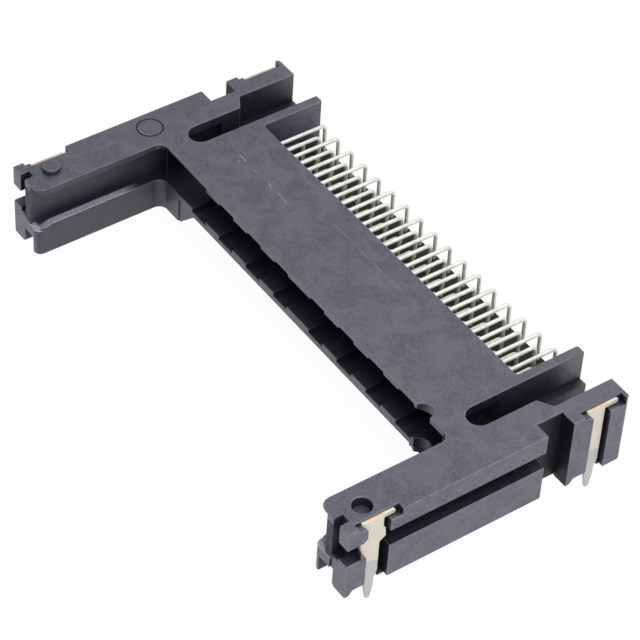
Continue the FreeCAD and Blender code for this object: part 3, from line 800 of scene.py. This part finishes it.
@dataclass
class ContactWires(SubAssembly):
    """Two rows of round wires that come out of the pin wall and turn down to the board."""

    columns: int = 34
    pitch: float = 1.27
    diameter: float = 0.45
    upper_z: float = 6.75
    lower_z: float = 5.48
    tip_y: float = 3.75
    upper_tail_y: tuple[float, float] = (18.05, 16.4)
    lower_tail_y: tuple[float, float] = (15.2, 13.5)
    bend_radius: float = 0.65
    tail_z: float = -2.45
    nose_length: float = 0.4
    power_extra: float = 0.75
    detect_extra: float = -0.75
    end_taper: float = 0.55
    bend_steps: int = 6
    sides: int = 12

    BEND = 2
    SIZES = ("Count", "Step", "First X", "Row Z", "Tip Y", "Tail Y", "Bend Radius", "Tail Z",
             "Wire Radius", "Nose Length", "Power Extra", "First Power", "Second Power",
             "Detect Extra", "Detect")

    def tree(self) -> bpy.types.NodeTree:
        """Geometry tree of one row of wires.

        Returns:
            The node tree, with its sizes as named inputs.
        """
        tree = bpy.data.node_groups.new("wire_row", "GeometryNodeTree")
        whole = {"Count", "First Power", "Second Power", "Detect"}
        for label in self.SIZES:
            kind = "NodeSocketInt" if label in whole else "NodeSocketFloat"
            tree.interface.new_socket(label, in_out="INPUT", socket_type=kind)
        tree.interface.new_socket("Finish", in_out="INPUT", socket_type="NodeSocketMaterial")
        tree.interface.new_socket("Geometry", in_out="OUTPUT", socket_type="NodeSocketGeometry")
        board = NodeBoard(tree)
        given = board.add("NodeGroupInput").outputs

        def corner(y, z) -> Socket:
            """Point of the wire's route in its own plane."""
            return board.first("ShaderNodeCombineXYZ", {"Y": y, "Z": z})

        shoulder_y = board.math("ADD", given["Tip Y"], given["Nose Length"])
        taper_z = board.math("ADD", given["Tail Z"], given["Nose Length"])
        route = [corner(given["Tip Y"], given["Row Z"]), corner(shoulder_y, given["Row Z"]),
                 corner(given["Tail Y"], given["Row Z"]), corner(given["Tail Y"], taper_z),
                 corner(given["Tail Y"], given["Tail Z"])]
        chain = board.first("GeometryNodeMeshLine", {"Count": len(route)})
        curve = board.first("GeometryNodeMeshToCurve", {"Mesh": chain})
        pick = board.add("GeometryNodeIndexSwitch", data_type="VECTOR")
        while len(pick.index_switch_items) < len(route):
            pick.index_switch_items.new()
        board.feed(pick.inputs["Index"], board.first("GeometryNodeInputIndex"))
        for number, point in enumerate(route):
            board.feed(pick.inputs[number + 1], point)
        wire = board.first("GeometryNodeSetPosition", {"Geometry": curve, "Position": pick.outputs[0]})
        places = board.first("GeometryNodeMeshLine", {
            "Count": given["Count"],
            "Start Location": board.first("ShaderNodeCombineXYZ", {"X": given["First X"]}),
            "Offset": board.first("ShaderNodeCombineXYZ", {"X": given["Step"]})})
        row = board.first("GeometryNodeInstanceOnPoints", {"Points": places, "Instance": wire})
        real = board.first("GeometryNodeRealizeInstances", {"Geometry": row})
        number = board.first("GeometryNodeFieldOnDomain", {0: board.first("GeometryNodeInputIndex")},
                             data_type="INT", domain="CURVE")

        def same(value: Socket, other) -> Socket:
            """1 where two whole numbers are the same."""
            gap = board.math("SUBTRACT", value, other)
            return board.math("LESS_THAN", board.math("ABSOLUTE", gap), 0.5)

        power = board.math("ADD", same(number, given["First Power"]), same(number, given["Second Power"]))
        extra = board.math("ADD", board.times(power, given["Power Extra"]),
                           board.times(same(number, given["Detect"]), given["Detect Extra"]))
        shift = corner(board.times(extra, -1.0), 0.0)
        mating_end = board.first("GeometryNodeCurveEndpointSelection", {"Start Size": 2, "End Size": 0})
        reached = board.first("GeometryNodeSetPosition", {"Geometry": real, "Selection": mating_end,
                                                          "Offset": shift})
        ends = board.first("GeometryNodeCurveEndpointSelection", {"Start Size": 1, "End Size": 1})
        even = board.first("GeometryNodeSetCurveRadius", {"Curve": reached, "Radius": 1.0})
        tapered = board.first("GeometryNodeSetCurveRadius", {"Curve": even, "Selection": ends,
                                                             "Radius": self.end_taper})
        order = board.add("GeometryNodeSplineParameter").outputs["Index"]
        turn = same(order, float(self.BEND))
        bent = board.first("GeometryNodeFilletCurve", {"Curve": tapered, "Count": self.bend_steps,
                                                       "Radius": board.times(turn, given["Bend Radius"])},
                           mode="POLY")
        ring = board.first("GeometryNodeCurvePrimitiveCircle", {"Resolution": self.sides,
                                                                "Radius": given["Wire Radius"]})
        skin = board.first("GeometryNodeCurveToMesh", {"Curve": bent, "Profile Curve": ring,
                                                       "Fill Caps": True})
        smooth = board.first("GeometryNodeSetShadeSmooth", {"Geometry": skin})
        dressed = board.first("GeometryNodeSetMaterial", {"Geometry": smooth, "Material": given["Finish"]})
        board.add("NodeGroupOutput", {"Geometry": dressed})
        return tree

    def _row(self, tree: bpy.types.NodeTree, tail: TailLength, row_z: float, tail_y: float,
             senses: bool, finish: bpy.types.Material) -> bpy.types.Object:
        """One row of wires as a plain mesh.

        Args:
            tree: The geometry tree.
            tail: Which columns the row fills.
            row_z: Height of the row, in millimetres.
            tail_y: Place of the tails, in millimetres.
            senses: True where the row has the short card-detect wire.
            finish: Material of the wires.

        Returns:
            The row.
        """
        long_tails = tail is TailLength.LONG
        last = self.columns // 2 - 1
        sizes = {
            "Count": self.columns // 2, "Step": 2 * self.pitch * MM,
            "First X": (tail.value - (self.columns - 1) / 2) * self.pitch * MM,
            "Row Z": row_z * MM, "Tip Y": self.tip_y * MM, "Tail Y": tail_y * MM,
            "Bend Radius": self.bend_radius * MM, "Tail Z": self.tail_z * MM,
            "Wire Radius": self.diameter / 2 * MM, "Nose Length": self.nose_length * MM,
            "Power Extra": self.power_extra * MM, "Detect Extra": self.detect_extra * MM,
            "First Power": 0 if long_tails else last,
            "Second Power": self.columns // 4 if long_tails else -1,
            "Detect": (last if long_tails else 0) if senses else -1,
        }
        raw = object_of("wire_row_raw", bpy.data.meshes.new("wire_row_raw"))
        modifier = raw.modifiers.new("wires", "NODES")
        modifier.node_group = tree
        for item in tree.interface.items_tree:
            if item.in_out == "INPUT":
                modifier[item.identifier] = sizes.get(item.name, finish)
        return baked("wire_row", raw)

    def build(self, effects: SurfaceEffects) -> list[bpy.types.Object]:
        """Make the wires with long tails and those with short ones."""
        finish = PlatedWire(name="contact_plating", colour=(0.74, 0.73, 0.68), stain=(0.6, 0.59, 0.54))
        material = finish.material(effects)
        tree = self.tree()
        pieces = []
        for tail, name in ((TailLength.LONG, "long_tail_wires"), (TailLength.SHORT, "short_tail_wires")):
            upper = self._row(tree, tail, self.upper_z, self.upper_tail_y[tail.value], False, material)
            lower = self._row(tree, tail, self.lower_z, self.lower_tail_y[tail.value], True, material)
            piece = joined(name, [upper, lower])
            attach(piece, BODY)
            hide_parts(*[f"contact_pair_{column + 1:02d}"
                                 for column in range(tail.value, self.columns, 2)])
            pieces.append(piece)
        return pieces


@dataclass
class BoardLocks(SubAssembly):
    """Four tinned sheet clips with a bare copper edge along the top."""

    edge_width: float = 0.04

    def build(self, effects: SurfaceEffects) -> list[bpy.types.Object]:
        """Make the four clips."""
        sheet = TinnedSheet(name="lock_tin", upper=(0.62, 0.58, 0.48), lower=(0.43, 0.44, 0.43),
                            copper=(0.62, 0.36, 0.2))
        material = sheet.material(effects)
        pieces = []
        for node in ("front_board_lock_left", "front_board_lock_right",
                     "rear_board_lock_left", "rear_board_lock_right"):
            piece = softened(node.replace("board_lock", "lock_clip"), node, self.edge_width, [material])
            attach(piece, BODY)
            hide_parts(node)
            pieces.append(piece)
        return pieces


class TailAligner(SubAssembly):
    """Plate that holds the tails in line, behind the body."""

    def build(self, effects: SurfaceEffects) -> list[bpy.types.Object]:
        """Give the plate's own node its finish."""
        finish = MouldedPlastic(name="aligner_moulding", dark=(0.008, 0.008, 0.009),
                                light=(0.016, 0.016, 0.017), roughness=0.65, cloud_scale=500.0)
        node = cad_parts["tail_aligner"]
        node.material_slots[0].link = "OBJECT"
        node.material_slots[0].material = finish.material(effects)
        return [node]


@dataclass(frozen=True)
class Bead:
    """Low bead along a circle, in millimetres, from one angle to another, in degrees."""

    radius: float
    half_width: float
    span: tuple[float, float]
    finish: MouldedPlastic
    steps: int = 72
    section: int = 8
    end_share: float = 0.05

    def shape(self, centre: Vector) -> bmesh.types.BMesh:
        """Surface of the bead round a centre, with thinner ends where it isn't a full circle."""
        start, end = self.span
        closed = end - start >= 360.0
        shape = bmesh.new()
        loops = []
        for step in range(self.steps if closed else self.steps + 1):
            angle = math.radians(start + (end - start) * step / self.steps)
            out = Vector((math.cos(angle), math.sin(angle), 0))
            middle = centre + out * (self.radius * MM)
            share = min(max(step / self.steps, self.end_share), 1.0 - self.end_share)
            half = self.half_width * MM * (1.0 if closed else math.sin(math.pi * share) ** 0.5)
            loop = []
            for side in range(self.section):
                lean = 2 * math.pi * side / self.section
                lift = Vector((0, 0, math.sin(lean))) * (half * 0.5)
                loop.append(shape.verts.new(middle + out * (math.cos(lean) * half) + lift))
            loops.append(loop)
        for near, far in zip(loops, loops[1:] + loops[:1] if closed else loops[1:]):
            for side in range(self.section):
                face = shape.faces.new((near[side - 1], near[side], far[side], far[side - 1]))
                face.smooth = True
        if not closed:
            shape.faces.new(loops[0])
            shape.faces.new(loops[-1][::-1])
        bmesh.ops.recalc_face_normals(shape, faces=shape.faces)
        return shape


@dataclass
class MouldRing(SubAssembly):
    """Plain round mould mark on top of the left arm: a rim in painted shade with an arc of painted
    highlight inside it.
    """

    centre: tuple[float, float] = (-28.36, 0.18)
    boss_height: float = 0.5
    # The dark rim is painted shade and the lighter arc is a painted highlight.
    beads: tuple[Bead, ...] = (
        Bead(1.4, 0.1, (0.0, 360.0), MouldedPlastic(name="ring_shade_moulding", dark=(0.008, 0.008, 0.012),
                                                    light=(0.016, 0.016, 0.022), roughness=0.6)),
        Bead(1.24, 0.06, (-125.0, -15.0), MouldedPlastic(name="ring_highlight_moulding", dark=(0.2, 0.2, 0.23),
                                                         light=(0.26, 0.26, 0.3))),
    )

    def build(self, effects: SurfaceEffects) -> list[bpy.types.Object]:
        """Make the rim of painted shade and the arc of painted highlight, half sunk in the top of the arm.
        """
        top_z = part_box("housing")[1].z - self.boss_height * MM
        centre = Vector((self.centre[0] * MM, self.centre[1] * MM, top_z))
        pieces = []
        for name, bead in zip(("mould_ring", "mould_ring_highlight"), self.beads):
            piece = shown(name, bead.shape(centre), [bead.finish.material(effects)])
            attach(piece, BODY)
            pieces.append(piece)
        return pieces


@dataclass(frozen=True)
class Lamp:
    """Square soft lamp: place and side in metres, power in watts."""

    name: str
    place: Place
    size: float
    power: float

    def stand(self, target: Place) -> None:
        """Set the lamp up, pointed at a place in metres."""
        light = bpy.data.lights.new(self.name, "AREA")
        light.energy = self.power
        light.size = self.size
        lamp = bpy.data.objects.new(self.name, light)
        lamp.location = self.place
        aim = Vector(target) - Vector(self.place)
        lamp.rotation_euler = aim.to_track_quat("-Z", "Y").to_euler()
        bpy.context.scene.collection.objects.link(lamp)


@dataclass
class Studio:
    """White table, soft lamps and an even surround."""

    floor_z: float = -2.6
    floor_size: float = 1.6
    surround: float = 0.45
    shadow_share: float = 0.04
    reflected_share: float = 0.5
    floor_tone: float = 0.97
    target: Place = (0.0, 0.0, 0.005)
    lamps: tuple[Lamp, ...] = (Lamp("key_lamp", (0.15, -0.02, 0.2), 0.14, 0.5),
                               Lamp("back_lamp", (-0.1, 0.28, 0.4), 0.25, 0.4))

    def _surround(self) -> None:
        """Even surround that the camera and reflections see as white."""
        world = bpy.data.worlds.new("white_surround")
        board = NodeBoard.cleared(world)
        path = board.add("ShaderNodeLightPath").outputs
        seen = board.math("MAXIMUM", path["Is Camera Ray"],
                          board.math("MAXIMUM", path["Is Glossy Ray"], path["Is Transmission Ray"]))
        strength = board.add("ShaderNodeMapRange", {"Value": seen, "To Min": self.surround, "To Max": 1.0})
        light = board.add("ShaderNodeBackground", {"Color": (1.0, 1.0, 1.0, 1.0),
                                                   "Strength": strength.outputs["Result"]})
        board.add("ShaderNodeOutputWorld", {"Surface": light.outputs[0]})
        bpy.context.scene.world = world

    def _floor(self) -> bpy.types.Object:
        """White table that keeps a faint shadow."""
        shape = bmesh.new()
        half = self.floor_size / 2
        corners = [(-half, -half), (half, -half), (half, half), (-half, half)]
        shape.faces.new([shape.verts.new((x, y, self.floor_z * MM)) for x, y in corners])
        material = bpy.data.materials.new("white_table")
        board = NodeBoard.cleared(material)
        path = board.add("ShaderNodeLightPath").outputs
        seen = board.times(path["Is Camera Ray"], 1.0 - self.shadow_share)
        mirrored = board.math("MAXIMUM", path["Is Glossy Ray"], path["Is Transmission Ray"])
        share = board.math("MAXIMUM", seen, board.times(mirrored, self.reflected_share))
        matte = board.add("ShaderNodeBsdfDiffuse", {"Color": (*(self.floor_tone,) * 3, 1.0)})
        glow = board.add("ShaderNodeEmission", {"Color": (1.0, 1.0, 1.0, 1.0), "Strength": 1.0})
        both = board.add("ShaderNodeMixShader", {0: share, 1: matte.outputs[0], 2: glow.outputs[0]})
        board.add("ShaderNodeOutputMaterial", {"Surface": both.outputs[0]})
        floor = shown("table_top", shape, [material])
        return floor

    def build(self) -> None:
        """Set up the surround, the table and the lamps."""
        self._surround()
        self._floor()
        for lamp in self.lamps:
            lamp.stand(self.target)
        bpy.context.scene.view_settings.view_transform = "Standard"


@dataclass
class PhotoCamera:
    """Camera at the photograph's viewing angle, from a fit of its lens and place."""

    frame_width: float = 640.0
    focal_pixels: float = 2860.6
    azimuth: float = 52.538
    elevation: float = 44.133
    roll: float = 3.695
    place: Place = (168.569, -126.184, 208.286)
    sensor: float = 36.0

    def build(self) -> bpy.types.Object:
        """Make the camera and hand it to the scene.

        Returns:
            The camera.
        """
        turn, tilt, lean = (math.radians(angle) for angle in (self.azimuth, self.elevation, self.roll))
        right = Vector((math.cos(turn), math.sin(turn), 0))
        ahead = Vector((-math.sin(turn) * math.cos(tilt), math.cos(turn) * math.cos(tilt),
                        -math.sin(tilt)))
        up = right.cross(ahead)
        across = right * math.cos(lean) + up * math.sin(lean)
        upright = up * math.cos(lean) - right * math.sin(lean)
        data = bpy.data.cameras.new("photo_camera")
        data.sensor_width = self.sensor
        data.lens = self.focal_pixels * self.sensor / self.frame_width
        data.clip_start = 0.01
        camera = bpy.data.objects.new("photo_camera", data)
        axes = Matrix((across, upright, -ahead)).transposed()
        camera.matrix_world = Matrix.Translation(Vector(self.place) * MM) @ axes.to_4x4()
        bpy.context.scene.collection.objects.link(camera)
        bpy.context.scene.camera = camera
        return camera


def main() -> None:
    """Build every sub-assembly, then the studio and the camera."""
    logging.basicConfig(level=logging.INFO, format="%(message)s")
    effects = SurfaceEffects()
    for assembly in (HousingShell(), ContactWires(), BoardLocks(), TailAligner(), MouldRing()):
        for piece in assembly.build(effects):
            LOG.info("%s: %d faces", piece.name, len(piece.data.polygons))
    Studio().build()
    PhotoCamera().build()


if __name__ == "__main__":
    main()
